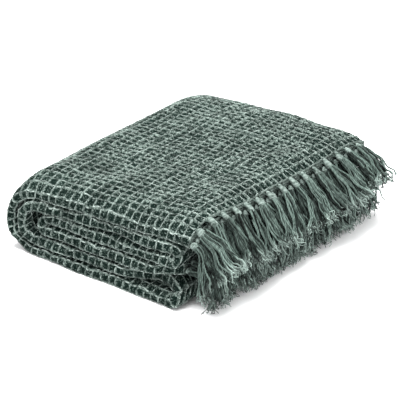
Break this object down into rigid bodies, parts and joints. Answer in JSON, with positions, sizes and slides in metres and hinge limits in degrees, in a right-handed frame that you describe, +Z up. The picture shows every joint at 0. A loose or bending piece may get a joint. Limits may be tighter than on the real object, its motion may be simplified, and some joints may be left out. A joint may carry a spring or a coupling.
{
  "type": "fringed blanket",
  "caption": "Woven cotton throw folded into a flat pile, with knotted fringe hanging from both of its ends along one side.",
  "frame": {"origin": "on the floor under the middle of the folded throw with its fringe", "axes": "+X towards the fringe, +Y away from the near folds, +Z up"},
  "size_m": [0.3084, 0.337, 0.0967],
  "materials": {
    "throw_green": "matt woven cotton",
    "fringe_green": "matt cotton yarn"
  },
  "bodies": {
    "root": {"throw_cloth": "throw_green", "fringe_top_end": "fringe_green", "fringe_low_end": "fringe_green"}
  },
  "joints": []
}
